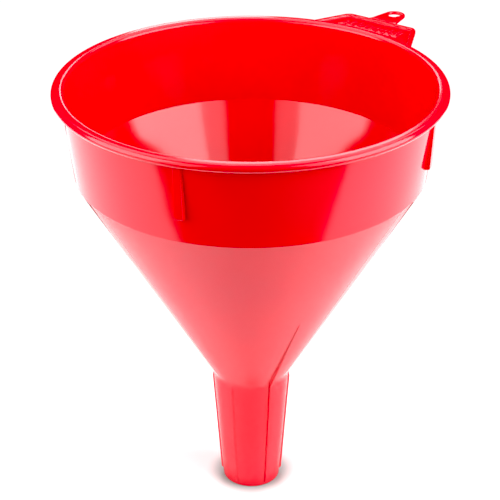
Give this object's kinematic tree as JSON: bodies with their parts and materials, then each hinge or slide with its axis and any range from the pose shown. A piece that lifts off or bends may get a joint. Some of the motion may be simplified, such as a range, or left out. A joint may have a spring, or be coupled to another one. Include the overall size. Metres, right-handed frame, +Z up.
{
  "type": "utility funnel",
  "caption": "Wide round funnel with a deep upright bowl, long cone and ribbed spout, a hang tab on the rim and a lift-out brass strainer in the throat.",
  "frame": {"origin": "on the funnel's axis, in the plane of the spout's tip", "axes": "+Z up along the funnel's axis, from the spout's tip to the rim; the hang tab lies half-way between +X and +Y"},
  "size_m": [0.2066, 0.2066, 0.2444],
  "materials": {
    "red_polyethylene": "glossy moulded polyethylene",
    "rolled_brass": "satin rolled sheet",
    "brass_gauze": "plain woven wire"
  },
  "bodies": {
    "funnel": {"rim_lip": "red_polyethylene", "bowl_band": "red_polyethylene", "cone_wall": "red_polyethylene", "spout_tube": "red_polyethylene", "vent_fin": "red_polyethylene", "vent_rib_1": "red_polyethylene", "vent_rib_2": "red_polyethylene", "vent_rib_3": "red_polyethylene", "vent_rib_4": "red_polyethylene", "vent_rib_5": "red_polyethylene", "stacking_lug_1": "red_polyethylene", "stacking_lug_2": "red_polyethylene", "stacking_lug_3": "red_polyethylene", "stacking_lug_4": "red_polyethylene", "hang_tab": "red_polyethylene", "hang_eyelet": "red_polyethylene"},
    "strainer": {"strainer_ring": "rolled_brass", "strainer_gauze": "brass_gauze"}
  },
  "joints": [
    {"name": "strainer_lift", "type": "slide", "parent": "funnel", "child": "strainer", "axis": [0, 0, 1], "range_m": [0, 0.17]}
  ]
}
